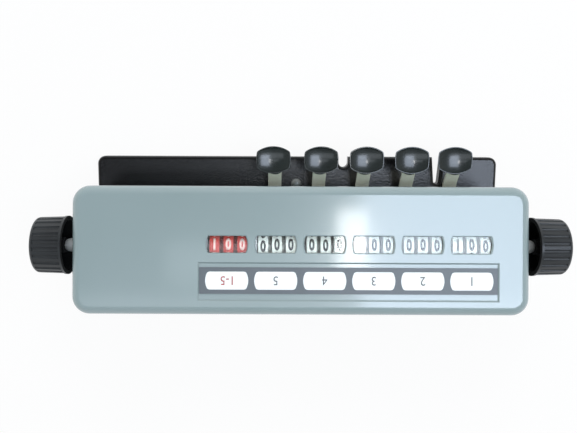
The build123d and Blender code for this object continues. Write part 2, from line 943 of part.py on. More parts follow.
tip_z = lever_z(spring_tip_reach, -lever_thickness / 2 - spring_gap) - spring_thickness / 2
for index, lever_x in enumerate(lever_xs):
    spring = leaf_spring(lever_x, spring_foot_reach, (front_edge_y + spring_tip_reach, tip_z))
    save(spring, f"return_spring_{index + 1}")

bail_tip = inside(bail_reach + bail_depth / 2, bail_height - spring_gap)
save(leaf_spring(total_x + lever_offset, bail_spring_foot_reach, bail_tip), "bail_spring")


# Frame plates and what joins them

click_bar_reach = back_reach - click_back_gap
click_bar_z = wheel_axis_z + click_lift - click_bar_size
rest_bar_reach = plate_front_reach + rest_bar_inset
plate_back_reach = back_reach - plate_back_gap
arch_back_reach = pivot_reach - arch_pivot_gap
tie_front = (wheel_axis_reach, tie_front_height)
tie_back = (back_reach - tie_back_gap, tie_back_height)
rest_bar_z = lever_z(rest_bar_reach + rest_bar_depth, lever_thickness / 2 + felt_gap + felt_thickness)
plate_x_left = station_xs[0] - window_pitch + plate_offset
plate_x_right = total_x + plate_offset
frame_start = plate_x_left - plate_thickness / 2
frame_end = plate_x_right + plate_thickness / 2
bell_bracket_x = side_wall_x - bracket_side_gap
bracket_end = bell_bracket_x + plate_thickness / 2


def frame_plate(x, thickness):
    """A plate across the case with an arch for the rocking bar and holes for rods and bars."""
    with BuildPart() as plate:
        with BuildSketch(Plane.YZ.offset(x - thickness / 2)) as outline:
            with BuildLine():
                Polyline(
                    inside(plate_front_reach, 0),
                    inside(plate_front_reach, plate_shoulder),
                    on_face(plate_top_front, plate_roof_gap),
                    on_face(face_depth - plate_top_back_gap, plate_roof_gap),
                    inside(plate_back_reach, plate_back_shoulder),
                    inside(plate_back_reach, 0),
                    inside(arch_back_reach, 0),
                    inside(arch_back_reach, arch_height),
                    inside(arch_front_reach, arch_height),
                    inside(arch_front_reach, 0),
                    close=True,
                )
            make_face()
            high = outline.vertices().filter_by(lambda vertex: vertex.Z > base_top_z + 1)
            fillet(high, plate_corner)
            with Locations((wheel_axis_y, wheel_axis_z)):
                Circle(shaft_radius + running_fit, mode=Mode.SUBTRACT)
            with Locations((pivot_y, pivot_z)):
                Circle(pivot_rod_radius + slip_fit, mode=Mode.SUBTRACT)
            with Locations(inside(*tie_front), inside(*tie_back)):
                Circle(tie_rod_radius + slip_fit, mode=Mode.SUBTRACT)
            with Locations(
                (
                    front_edge_y + rest_bar_reach + rest_bar_depth / 2,
                    rest_bar_z + (rest_bar_thickness - felt_thickness) / 2,
                )
            ):
                Rectangle(
                    rest_bar_depth + 2 * slip_fit,
                    rest_bar_thickness + felt_thickness + 2 * slip_fit,
                    mode=Mode.SUBTRACT,
                )
            with Locations(
                (front_edge_y + click_bar_reach + click_bar_size / 2, click_bar_z + click_bar_size / 2)
            ):
                Rectangle(
                    click_bar_size + 2 * slip_fit, click_bar_size + 2 * slip_fit, mode=Mode.SUBTRACT
                )
        extrude(amount=thickness)
    return plate


save(frame_plate(plate_x_left, plate_thickness), "frame_plate_left")
save(frame_plate(plate_x_right, plate_thickness), "frame_plate_right")
save(frame_plate(middle_plate_x, middle_plate_thickness), "middle_plate")

with BuildPart() as divider_plates:
    for divider_x in [x + plate_offset for x in counter_xs[:-1]]:
        add(frame_plate(divider_x, plate_thickness).part)
save(divider_plates, "divider_plates")

with BuildPart() as pivot_rod:
    add(
        rod_along_x(
            pivot_y, pivot_z, pivot_rod_radius, frame_start - rod_overhang, bracket_end + rod_overhang
        )
    )
save(pivot_rod, "pivot_rod")

with BuildPart() as tie_rods:
    for spot in (inside(*tie_front), inside(*tie_back)):
        add(rod_along_x(*spot, tie_rod_radius, frame_start - rod_overhang, frame_end + rod_overhang))
save(tie_rods, "tie_rods")

with BuildPart() as rest_bar:
    with BuildSketch(Plane.YZ.offset(frame_start)):
        with Locations(
            (front_edge_y + rest_bar_reach + rest_bar_depth / 2, rest_bar_z + rest_bar_thickness / 2)
        ):
            Rectangle(rest_bar_depth, rest_bar_thickness)
    extrude(amount=frame_end - frame_start)
save(rest_bar, "rest_bar")

with BuildPart() as rest_felt:
    with BuildSketch(Plane.YZ.offset(frame_start)):
        with Locations(
            (front_edge_y + rest_bar_reach + rest_bar_depth / 2, rest_bar_z - felt_thickness / 2)
        ):
            Rectangle(rest_bar_depth, felt_thickness)
    extrude(amount=frame_end - frame_start)
save(rest_felt, "rest_felt")

with BuildPart() as click_springs:
    with BuildSketch(Plane.YZ.offset(frame_start)):
        with Locations(
            (front_edge_y + click_bar_reach + click_bar_size / 2, click_bar_z + click_bar_size / 2)
        ):
            Rectangle(click_bar_size, click_bar_size)
    extrude(amount=frame_end - frame_start)
    # One comb of three fingers for each station, clamped on the bar
    for station_x in station_xs:
        comb_start = station_x + lane_xs[0] - finger_gap - finger_width
        comb_end = station_x + lane_xs[2] - finger_gap
        comb_top = click_bar_z + click_bar_size
        with BuildSketch(Plane.YZ.offset(comb_start)):
            with Locations(
                (front_edge_y + click_bar_reach + click_bar_size / 2, comb_top + click_thickness / 2)
            ):
                Rectangle(click_bar_size, click_thickness)
        extrude(amount=comb_end - comb_start)
        for lane_x in lane_xs:
            tip_y = wheel_axis_y + ratchet_radius + finger_gap
            with BuildSketch(Plane.YZ.offset(station_x + lane_x - finger_gap - finger_width)):
                with BuildLine():
                    Polyline(
                        (front_edge_y + click_bar_reach, comb_top),
                        (front_edge_y + click_bar_reach, comb_top + click_thickness),
                        (tip_y, wheel_axis_z + click_thickness + click_tip_rise),
                        (tip_y, wheel_axis_z + click_tip_rise),
                        close=True,
                    )
                make_face()
            extrude(amount=finger_width)
save(click_springs, "click_springs")


# Bell

gong_x = side_wall_x - gong_side_gap
gong_y = front_edge_y + gong_reach
gong_rim_z = base_top_z + gong_rim_height
gong_top_z = gong_rim_z + gong_rise
gong_axis = Axis((gong_x, gong_y, 0), (0, 0, 1))
gong_plane = Plane.XZ.offset(-gong_y)

with BuildPart() as bell_gong:
    with BuildSketch(gong_plane):
        with BuildLine():
            hole_x = gong_x + gong_hole_radius
            rim_x = gong_x + gong_radius
            SagittaArc((hole_x, gong_top_z), (rim_x, gong_rim_z), gong_bulge)
            Line((rim_x, gong_rim_z), (rim_x - gong_wall, gong_rim_z))
            SagittaArc(
                (rim_x - gong_wall, gong_rim_z), (hole_x, gong_top_z - gong_wall), -gong_bulge
            )
            Line((hole_x, gong_top_z - gong_wall), (hole_x, gong_top_z))
        make_face()
    revolve(axis=gong_axis)
save(bell_gong, "bell_gong")

with BuildPart() as bell_post:
    with BuildSketch(Plane.XY.offset(base_top_z)):
        with Locations((gong_x, gong_y)):
            Circle(bell_post_radius)
    extrude(amount=gong_top_z - gong_wall - base_top_z)
    with BuildSketch(Plane.XY.offset(gong_top_z - gong_wall)):
        with Locations((gong_x, gong_y)):
            Circle(gong_hole_radius - slip_fit)
    extrude(amount=gong_wall)
    with BuildSketch(Plane.XY.offset(gong_top_z)):
        with Locations((gong_x, gong_y)):
            RegularPolygon(bell_nut_radius, 6)
    extrude(amount=bell_nut_height)
save(bell_post, "bell_post")

with BuildPart() as bell_bracket:
    with BuildSketch(Plane.YZ.offset(bell_bracket_x - plate_thickness / 2)) as bracket_outline:
        with BuildLine():
            Polyline(
                inside(arch_back_reach, 0),
                inside(arch_back_reach, pivot_height + pivot_rod_radius),
                (wheel_axis_y - bracket_reach, wheel_axis_z),
                (wheel_axis_y - bracket_reach, wheel_axis_z + bracket_reach),
                (wheel_axis_y + bracket_reach, wheel_axis_z + bracket_reach),
                inside(plate_back_reach, plate_back_shoulder),
                inside(plate_back_reach, 0),
                close=True,
            )
        make_face()
        with Locations((wheel_axis_y, wheel_axis_z)):
            Circle(shaft_radius + running_fit, mode=Mode.SUBTRACT)
        with Locations((pivot_y, pivot_z)):
            Circle(pivot_rod_radius + slip_fit, mode=Mode.SUBTRACT)
    extrude(amount=plate_thickness)
save(bell_bracket, "bell_bracket")

with BuildPart() as bell_hammer:
    head_y, head_z = pivot_y - hammer_reach, pivot_z + hammer_rise
    add(lever_eye(gong_x - hammer_width / 2, hammer_width))
    with BuildSketch(Plane.YZ.offset(gong_x - hammer_arm_thickness / 2)):
        with Locations((pivot_y, pivot_z)):
            Circle(eye_radius)
        with Locations((head_y, head_z)):
            Circle(hammer_arm_thickness)
        make_hull()
        with Locations((pivot_y, pivot_z)):
            Circle(pivot_rod_radius + running_fit, mode=Mode.SUBTRACT)
    extrude(amount=hammer_arm_thickness)
    with BuildSketch(Plane.XY.offset(head_z - hammer_arm_thickness)):
        with Locations((gong_x, head_y)):
            Circle(hammer_head_radius)
    extrude(amount=hammer_head_length)
save(bell_hammer, "bell_hammer")
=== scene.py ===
"""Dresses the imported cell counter: finishes, printed digits and numbers, studio and camera."""
import logging
from dataclasses import dataclass, field
from enum import Enum
from math import cos, pi, radians, sin

import bpy
from mathutils import Matrix, Vector


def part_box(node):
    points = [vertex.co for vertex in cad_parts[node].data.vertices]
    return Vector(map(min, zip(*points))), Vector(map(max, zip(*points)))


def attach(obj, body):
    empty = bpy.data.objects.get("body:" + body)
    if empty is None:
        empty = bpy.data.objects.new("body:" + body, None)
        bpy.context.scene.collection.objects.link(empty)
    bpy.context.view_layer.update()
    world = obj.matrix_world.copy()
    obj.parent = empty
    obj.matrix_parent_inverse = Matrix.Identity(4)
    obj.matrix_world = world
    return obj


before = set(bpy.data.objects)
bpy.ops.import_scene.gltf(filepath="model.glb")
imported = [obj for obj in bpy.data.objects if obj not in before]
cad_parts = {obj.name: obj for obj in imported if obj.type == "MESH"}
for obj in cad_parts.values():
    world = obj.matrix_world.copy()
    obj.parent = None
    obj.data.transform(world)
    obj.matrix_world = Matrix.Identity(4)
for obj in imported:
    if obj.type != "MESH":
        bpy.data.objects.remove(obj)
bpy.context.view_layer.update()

log = logging.getLogger("cell_counter")

Point = tuple[float, float, float]
Colour = tuple[float, float, float]
Socket = bpy.types.NodeSocket

MM = 0.001
DIGIT_COUNT = 10
DIGIT_STEP = 2 * pi / DIGIT_COUNT
HALF_WHEEL = 2.5 * MM
GROUP_SHIFT = 0.6 * MM
WHITE: Colour = (1.0, 1.0, 1.0)
BLACK: Colour = (0.0, 0.0, 0.0)


class Place(Enum):
    """The three number wheels of one counter, from its user's left to right."""

    HUNDREDS = "hundreds"
    TENS = "tens"
    UNITS = "units"


def srgb(red: int, green: int, blue: int) -> Colour:
    """Turns a screen colour of 0 to 255 into a linear one.

    Args:
        red: The red part.
        green: The green part.
        blue: The blue part.

    Returns:
        The linear colour that a shader takes.
    """

    def linear(value: int) -> float:
        """One channel's linear value."""
        share = value / 255
        return share / 12.92 if share <= 0.04045 else ((share + 0.055) / 1.055) ** 2.4

    return linear(red), linear(green), linear(blue)


# Finishes


class NodeSheet:
    """One node tree that is being filled, with short calls to add and join nodes."""

    def __init__(self, tree: bpy.types.NodeTree) -> None:
        """Keeps the tree.

        Args:
            tree: The tree to fill.
        """
        self.tree = tree

    @property
    def shader(self) -> bpy.types.Node:
        """The material's own shader."""
        return self.tree.nodes["Principled BSDF"]

    def feed(self, socket: Socket, value: object) -> None:
        """Joins an input to another socket, or gives it a value.

        Args:
            socket: The input.
            value: A socket, a number or a linear colour.
        """
        if isinstance(value, Socket):
            self.tree.links.new(value, socket)
        elif socket.type == "RGBA":
            socket.default_value = (*value, 1.0)
        else:
            socket.default_value = value

    def feed_all(self, node: bpy.types.Node, values: tuple[object, ...]) -> None:
        """Feeds a node's first inputs in their order."""
        for socket, value in zip(node.inputs, values):
            self.feed(socket, value)

    def add(self, kind: str, **inputs: object) -> bpy.types.Node:
        """Adds a node and sets or joins its inputs.

        Args:
            kind: The node's type name.
            **inputs: A value or a socket for each input, with _ for a space.

        Returns:
            The new node.
        """
        node = self.tree.nodes.new(kind)
        for name, value in inputs.items():
            self.feed(node.inputs[name.replace("_", " ")], value)
        return node

    def show(self, shader: Socket) -> None:
        """Makes a shader the material's surface."""
        self.feed(self.tree.nodes["Material Output"].inputs["Surface"], shader)

    def mix(self, share: object, first: object, second: object) -> Socket:
        """Mixes two colours.

        Args:
            share: How much of the second, as a value or a socket.
            first: A linear colour or a socket.
            second: A linear colour or a socket.

        Returns:
            The mixed colour's socket.
        """
        node = self.tree.nodes.new("ShaderNodeMix")
        node.data_type = "RGBA"
        self.feed(node.inputs["Factor"], share)
        colour_inputs = [socket for socket in node.inputs if socket.type == "RGBA"]
        for socket, value in zip(colour_inputs, (first, second)):
            self.feed(socket, value)
        return next(socket for socket in node.outputs if socket.type == "RGBA")

    def blend(self, share: Socket, first: Socket, second: Socket) -> Socket:
        """Mixes two shaders.

        Args:
            share: How much of the second.
            first: A shader.
            second: Another shader.

        Returns:
            The mixed shader's socket.
        """
        node = self.tree.nodes.new("ShaderNodeMixShader")
        self.feed_all(node, (share, first, second))
        return node.outputs["Shader"]

    def maths(self, operation: str, *values: object) -> Socket:
        """Works out one sum.

        Args:
            operation: The sum's kind.
            *values: Numbers or sockets.

        Returns:
            The result's socket.
        """
        node = self.tree.nodes.new("ShaderNodeMath")
        node.operation = operation
        self.feed_all(node, values)
        return node.outputs["Value"]

    def scale_range(self, value: Socket, low: float, high: float) -> Socket:
        """Spreads a mask from 0 to 1 over another range.

        Args:
            value: The mask.
            low: What 0 becomes.
            high: What 1 becomes.

        Returns:
            The new value's socket.
        """
        node = self.add("ShaderNodeMapRange", Value=value, To_Min=low, To_Max=high)
        return node.outputs["Result"]

    def mask(self, group: bpy.types.NodeTree, scale: float, second: float) -> Socket:
        """Places an effect group.

        Args:
            group: The group.
            scale: The pattern's scale per metre.
            second: The stretch or the size, whichever the group takes.

        Returns:
            The mask's socket.
        """
        node = self.tree.nodes.new("ShaderNodeGroup")
        node.node_tree = group
        self.feed_all(node, (scale, second))
        return node.outputs["Mask"]


class EffectGroups:
    """The shader node groups that several finishes share, each built once."""

    def __init__(self) -> None:
        """Builds the groups."""
        self.drift = self._noise_group("tone_drift", detail=3.0, contrast=(0.3, 0.7))
        self.grain = self._noise_group("fine_grain", detail=5.0, contrast=(0.2, 0.8))
        self.specks = self._speck_group()

    @staticmethod
    def _open_group(
        name: str, inputs: tuple[tuple[str, float], ...]
    ) -> tuple[NodeSheet, bpy.types.Node]:
        """Starts a group with number inputs and one mask output.

        Args:
            name: The group's name.
            inputs: Each input's name and value.

        Returns:
            The group's sheet and its input node.
        """
        group = bpy.data.node_groups.new(name, "ShaderNodeTree")
        for input_name, value in inputs:
            socket = group.interface.new_socket(
                input_name, in_out="INPUT", socket_type="NodeSocketFloat"
            )
            socket.default_value = value
        group.interface.new_socket("Mask", in_out="OUTPUT", socket_type="NodeSocketFloat")
        return NodeSheet(group), group.nodes.new("NodeGroupInput")

    def _noise_group(
        self, name: str, detail: float, contrast: tuple[float, float]
    ) -> bpy.types.NodeTree:
        """A soft cloud over the surface.

        Args:
            name: The group's name.
            detail: How many sizes of cloud lie over each other.
            contrast: The noise values that become 0 and 1.

        Returns:
            The group.
        """
        sheet, entry = self._open_group(name, (("Scale", 50.0), ("Stretch", 1.0)))
        place = sheet.add("ShaderNodeTexCoord")
        long_way = entry.outputs["Stretch"]
        stretch = sheet.add("ShaderNodeCombineXYZ", X=1.0, Y=long_way, Z=long_way)
        drawn = sheet.add(
            "ShaderNodeMapping", Vector=place.outputs["Object"], Scale=stretch.outputs["Vector"]
        )
        noise = sheet.add(
            "ShaderNodeTexNoise",
            Vector=drawn.outputs["Vector"],
            Scale=entry.outputs["Scale"],
            Detail=detail,
        )
        low, high = contrast
        clear = sheet.add(
            "ShaderNodeMapRange", Value=noise.outputs["Fac"], From_Min=low, From_Max=high
        )
        sheet.add("NodeGroupOutput", Mask=clear.outputs["Result"])
        return sheet.tree

    def _speck_group(self) -> bpy.types.NodeTree:
        """Small separate specks, such as dust or the flecks of a hammered paint.

        Returns:
            The group.
        """
        sheet, entry = self._open_group("specks", (("Scale", 900.0), ("Size", 0.2)))
        place = sheet.add("ShaderNodeTexCoord")
        cells = sheet.add(
            "ShaderNodeTexVoronoi", Vector=place.outputs["Object"], Scale=entry.outputs["Scale"]
        )
        near = sheet.add(
            "ShaderNodeMapRange",
            Value=cells.outputs["Distance"],
            From_Min=entry.outputs["Size"],
            From_Max=0.0,
        )
        sheet.add("NodeGroupOutput", Mask=near.outputs["Result"])
        return sheet.tree


@dataclass(frozen=True)
class Finish:
    """One surface finish: its colour, gloss, drift of tone, grain and specks."""

    name: str
    colour: Colour
    other_colour: Colour
    roughness: tuple[float, float] = (0.3, 0.4)
    metallic: float = 0.0
    coat: float = 0.0
    coat_roughness: float = 0.05
    specular: float = 0.5
    drift_scale: float = 25.0
    grain_scale: float = 1500.0
    grain_stretch: float = 1.0
    grain_height: float = 0.00002
    speck_colour: Colour | None = None
    speck_scale: float = 900.0
    speck_size: float = 0.2

    def build(self, groups: EffectGroups) -> bpy.types.Material:
        """Makes the material.

        Args:
            groups: The shared effect groups.

        Returns:
            The material.
        """
        material = bpy.data.materials.new(self.name)
        material.use_nodes = True
        sheet = NodeSheet(material.node_tree)
        drift = sheet.mask(groups.drift, self.drift_scale, 1.0)
        grain = sheet.mask(groups.grain, self.grain_scale, self.grain_stretch)
        colour = sheet.mix(drift, self.colour, self.other_colour)
        if self.speck_colour:
            specks = sheet.mask(groups.specks, self.speck_scale, self.speck_size)
            colour = sheet.mix(specks, colour, self.speck_colour)
        bump = sheet.add("ShaderNodeBump", Height=grain, Distance=self.grain_height, Strength=1.0)
        for name, value in (
            ("Metallic", self.metallic),
            ("Coat Weight", self.coat),
            ("Coat Roughness", self.coat_roughness),
            ("Specular IOR Level", self.specular),
            ("Base Color", colour),
            ("Roughness", sheet.scale_range(grain, *self.roughness)),
            ("Normal", bump.outputs["Normal"]),
        ):
            sheet.feed(sheet.shader.inputs[name], value)
        return material

    @staticmethod
    def source_of(sheet: NodeSheet, name: str) -> Socket:
        """What feeds one of the shader's inputs."""
        return sheet.shader.inputs[name].links[0].from_socket


@dataclass(frozen=True)
class HammeredPaint(Finish):
    """A black paint that dried in small dimples, on the base casting."""

    dimple_scale: float = 900.0
    dimple_height: float = 0.00006

    def build(self, groups: EffectGroups) -> bpy.types.Material:
        """Makes the material, with dimples added to its grain.

        Args:
            groups: The shared effect groups.

        Returns:
            The material.
        """
        material = super().build(groups)
        sheet = NodeSheet(material.node_tree)
        bump = sheet.add(
            "ShaderNodeBump",
            Height=sheet.mask(groups.grain, self.dimple_scale, 1.0),
            Distance=self.dimple_height,
            Strength=1.0,
            Normal=self.source_of(sheet, "Normal"),
        )
        sheet.feed(sheet.shader.inputs["Normal"], bump.outputs["Normal"])
        return material


@dataclass(frozen=True)
class KnobMoulding(Finish):
    """A black moulding with painted shade: dead black in its hollow and on the side that faces the
    case.
    """

    inner_face_x: float = 120.25 * MM
    hollow_end_x: float = 129.5 * MM
    hollow_radius: float = 13.4 * MM
    # colour of the painted shade in the hollow and on the side facing the case
    hollow_colour: Colour = (0.001, 0.001, 0.001)

    def build(self, groups: EffectGroups) -> bpy.types.Material:
        """Makes the material, with painted shade, dead black and fully rough, where a knob faces
        the case and in its hollow.

        Args:
            groups: The shared effect groups.

        Returns:
            The material.
        """
        material = super().build(groups)
        sheet = NodeSheet(material.node_tree)
        low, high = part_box("knob_left")
        middle = (low + high) / 2
        place = sheet.add("ShaderNodeTexCoord")
        split = sheet.add("ShaderNodeSeparateXYZ", Vector=place.outputs["Object"])
        away = sheet.maths("ABSOLUTE", split.outputs["X"])
        rise = sheet.maths("SUBTRACT", split.outputs["Z"], middle.z)
        back = sheet.maths("SUBTRACT", split.outputs["Y"], middle.y)
        squares = [sheet.maths("MULTIPLY", value, value) for value in (rise, back)]
        reach = sheet.maths("SQRT", sheet.maths("ADD", *squares))
        is_near = sheet.maths("LESS_THAN", away, self.inner_face_x)
        is_shallow = sheet.maths("LESS_THAN", away, self.hollow_end_x)
        is_inside = sheet.maths("LESS_THAN", reach, self.hollow_radius)
        hollow = sheet.maths("MULTIPLY", is_shallow, is_inside)
        # painted shade: the side facing the case and the hollow become dead black and fully rough,
        # standing in for the shadow there
        dark = sheet.maths("MAXIMUM", is_near, hollow)
        colour = sheet.mix(dark, self.source_of(sheet, "Base Color"), self.hollow_colour)
        roughness = sheet.maths("MAXIMUM", self.source_of(sheet, "Roughness"), dark)
        sheet.feed(sheet.shader.inputs["Base Color"], colour)
        sheet.feed(sheet.shader.inputs["Roughness"], roughness)
        return material


@dataclass(frozen=True)
class ClearMoulding(Finish):
    """A clear moulded strip that lets the lamps' light through."""

    refraction: float = 1.45
    shadow_tint: Colour = (0.95, 0.97, 0.97)

    def build(self, groups: EffectGroups) -> bpy.types.Material:
        """Makes the material, see-through for shadow rays.

        Args:
            groups: The shared effect groups.

        Returns:
            The material.
        """
        material = super().build(groups)
        sheet = NodeSheet(material.node_tree)
        sheet.feed(sheet.shader.inputs["Transmission Weight"], 1.0)
        sheet.feed(sheet.shader.inputs["IOR"], self.refraction)
        is_shadow = sheet.add("ShaderNodeLightPath").outputs["Is Shadow Ray"]
        clear = sheet.add("ShaderNodeBsdfTransparent", Color=self.shadow_tint)
        glass = sheet.shader.outputs["BSDF"]
        sheet.show(sheet.blend(is_shadow, glass, clear.outputs["BSDF"]))
        return material


COVER = Finish(
    "cover_moulding", srgb(143, 159, 161), srgb(139, 156, 157), roughness=(0.18, 0.26),
    drift_scale=14.0, grain_scale=900.0, grain_height=0.000003, coat=1.0, coat_roughness=0.09,
)
BASE = HammeredPaint(
    "hammered_black", srgb(5, 5, 7), srgb(9, 9, 11), roughness=(0.18, 0.26), drift_scale=60.0,
    grain_scale=2500.0, speck_colour=srgb(64, 68, 74), speck_scale=1100.0, speck_size=0.14,
)
LENS = ClearMoulding(
    "clear_lens", srgb(244, 248, 248), srgb(238, 244, 244), roughness=(0.02, 0.05),
    grain_height=0.000002,
)
LABEL = Finish(
    "label_plate_grey", srgb(96, 104, 110), srgb(104, 111, 117), roughness=(0.35, 0.45),
    grain_scale=2200.0, grain_height=0.000006,
)
CELL = Finish(
    "label_cell_white", srgb(246, 250, 250), srgb(241, 246, 246), roughness=(0.4, 0.5),
    grain_scale=2500.0, grain_height=0.000004,
)
PRINT_GREY = Finish(
    "print_dark_grey", srgb(84, 88, 94), srgb(94, 98, 104), roughness=(0.45, 0.55),
    grain_height=0.000003,
)
PRINT_RED = Finish(
    "print_red", srgb(168, 52, 50), srgb(176, 66, 62), roughness=(0.45, 0.55),
    grain_height=0.000003,
)
NICKEL = Finish(
    "nickel_plate", srgb(246, 244, 224), srgb(236, 234, 212), roughness=(0.14, 0.26),
    metallic=0.35, drift_scale=90.0, grain_scale=1800.0, grain_stretch=0.08, grain_height=0.00001,
)
CAP = Finish(
    "black_cap_moulding", srgb(30, 36, 35), srgb(38, 44, 43), roughness=(0.18, 0.26), coat=0.4,
    coat_roughness=0.08, grain_scale=1500.0, grain_height=0.000004,
)
KNOB = KnobMoulding(
    "satin_black_moulding", srgb(38, 40, 42), srgb(48, 51, 53), roughness=(0.28, 0.4),
    drift_scale=60.0, grain_scale=2200.0, grain_height=0.00001, speck_colour=srgb(72, 76, 78),
    speck_scale=800.0, speck_size=0.07,
)
BUSH = Finish(
    "dull_nickel", srgb(188, 191, 190), srgb(172, 176, 176), roughness=(0.45, 0.6), metallic=0.5,
)
WHITE_WHEEL = Finish(
    "off_white_wheel", srgb(226, 228, 220), srgb(214, 216, 206), roughness=(0.4, 0.55),
    drift_scale=120.0, grain_scale=2400.0, grain_height=0.000006,
)
RED_WHEEL = Finish(
    "red_wheel", srgb(196, 40, 24), srgb(178, 34, 20), roughness=(0.35, 0.5), drift_scale=120.0,
    grain_scale=2400.0, grain_height=0.000006,
)
DIGIT_BLACK = Finish(
    "digit_black", srgb(44, 45, 46), srgb(58, 59, 60), roughness=(0.45, 0.6),
    grain_height=0.000003,
)
DIGIT_WHITE = Finish(
    "digit_white", srgb(240, 206, 198), srgb(230, 190, 180), roughness=(0.45, 0.6),
    grain_height=0.000003,
)
FRAME_STEEL = Finish(
    "plated_sheet_steel", srgb(176, 178, 178), srgb(160, 162, 164), roughness=(0.3, 0.5),
    metallic=1.0, drift_scale=80.0, grain_scale=1600.0, grain_stretch=0.1,
)
SHAFT_STEEL = Finish(
    "ground_steel", srgb(190, 191, 192), srgb(176, 178, 180), roughness=(0.2, 0.35), metallic=1.0,
    grain_scale=2400.0, grain_stretch=0.15,
)
SPRING_STEEL = Finish(
    "blued_spring_steel", srgb(120, 126, 138), srgb(104, 108, 122), roughness=(0.25, 0.4),
    metallic=1.0,
)
SCREW_STEEL = Finish(
    "plated_screw", srgb(150, 154, 152), srgb(138, 142, 141), roughness=(0.35, 0.5), metallic=0.8,
)
BRASS = Finish(
    "turned_brass", srgb(208, 176, 104), srgb(192, 160, 90), roughness=(0.2, 0.35), metallic=1.0,
    grain_scale=2000.0, grain_stretch=0.1,
)
FELT = Finish(
    "grey_felt", srgb(84, 86, 90), srgb(66, 68, 72), roughness=(0.85, 0.95), drift_scale=300.0,
    grain_scale=3200.0, grain_height=0.0001, specular=0.2,
)
RUBBER = Finish(
    "black_rubber", srgb(32, 32, 33), srgb(40, 40, 41), roughness=(0.55, 0.75), grain_scale=2600.0,
    grain_height=0.00002,
)

KEY_NUMBERS = (1, 2, 3, 4, 5)
COUNTER_NAMES = tuple(f"counter_{n}" for n in KEY_NUMBERS)
STATION_NAMES = (*COUNTER_NAMES, "total")

NODE_FINISHES: dict[str, Finish] = {
    "cover": COVER,
    "base_casting": BASE,
    "window_lens": LENS,
    "label_plate": LABEL,
    "feet": RUBBER,
    "cover_screws": SCREW_STEEL,
    "base_screw": SCREW_STEEL,
    "shaft_bushes": BUSH,
    "knob_left": KNOB,
    "knob_right": KNOB,
    "reset_shaft_left": SHAFT_STEEL,
    "reset_shaft_right": SHAFT_STEEL,
    "pivot_rod": SHAFT_STEEL,
    "tie_rods": SHAFT_STEEL,
    "bell_post": SHAFT_STEEL,
    "bell_gong": BRASS,
    "rest_felt": FELT,
    "click_springs": SPRING_STEEL,
    "bail_spring": SPRING_STEEL,
    **{f"return_spring_{n}": SPRING_STEEL for n in KEY_NUMBERS},
    **{f"key_lever_{n}": NICKEL for n in KEY_NUMBERS},
    **{f"key_cap_{n}": CAP for n in KEY_NUMBERS},
    **{f"{name}_{place.value}_wheel": WHITE_WHEEL for name in COUNTER_NAMES for place in Place},
    **{f"total_{place.value}_wheel": RED_WHEEL for place in Place},
}


class Wardrobe:
    """Builds each finish once and puts it on nodes and pieces."""

    def __init__(self) -> None:
        """Builds the shared groups."""
        self.groups = EffectGroups()
        self.made: dict[str, bpy.types.Material] = {}

    def material(self, finish: Finish) -> bpy.types.Material:
        """Gives a finish's material.

        Args:
            finish: The finish.

        Returns:
            Its material.
        """
        if finish.name not in self.made:
            self.made[finish.name] = finish.build(self.groups)
        return self.made[finish.name]

    def dress(self, piece: bpy.types.Object, finish: Finish) -> None:
        """Puts one finish on a whole piece."""
        piece.data.materials.clear()
        piece.data.materials.append(self.material(finish))

    def dress_nodes(self) -> None:
        """Dresses every node of the frame."""
        for name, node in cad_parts.items():
            self.dress(node, NODE_FINISHES.get(name, FRAME_STEEL))


# Meshes


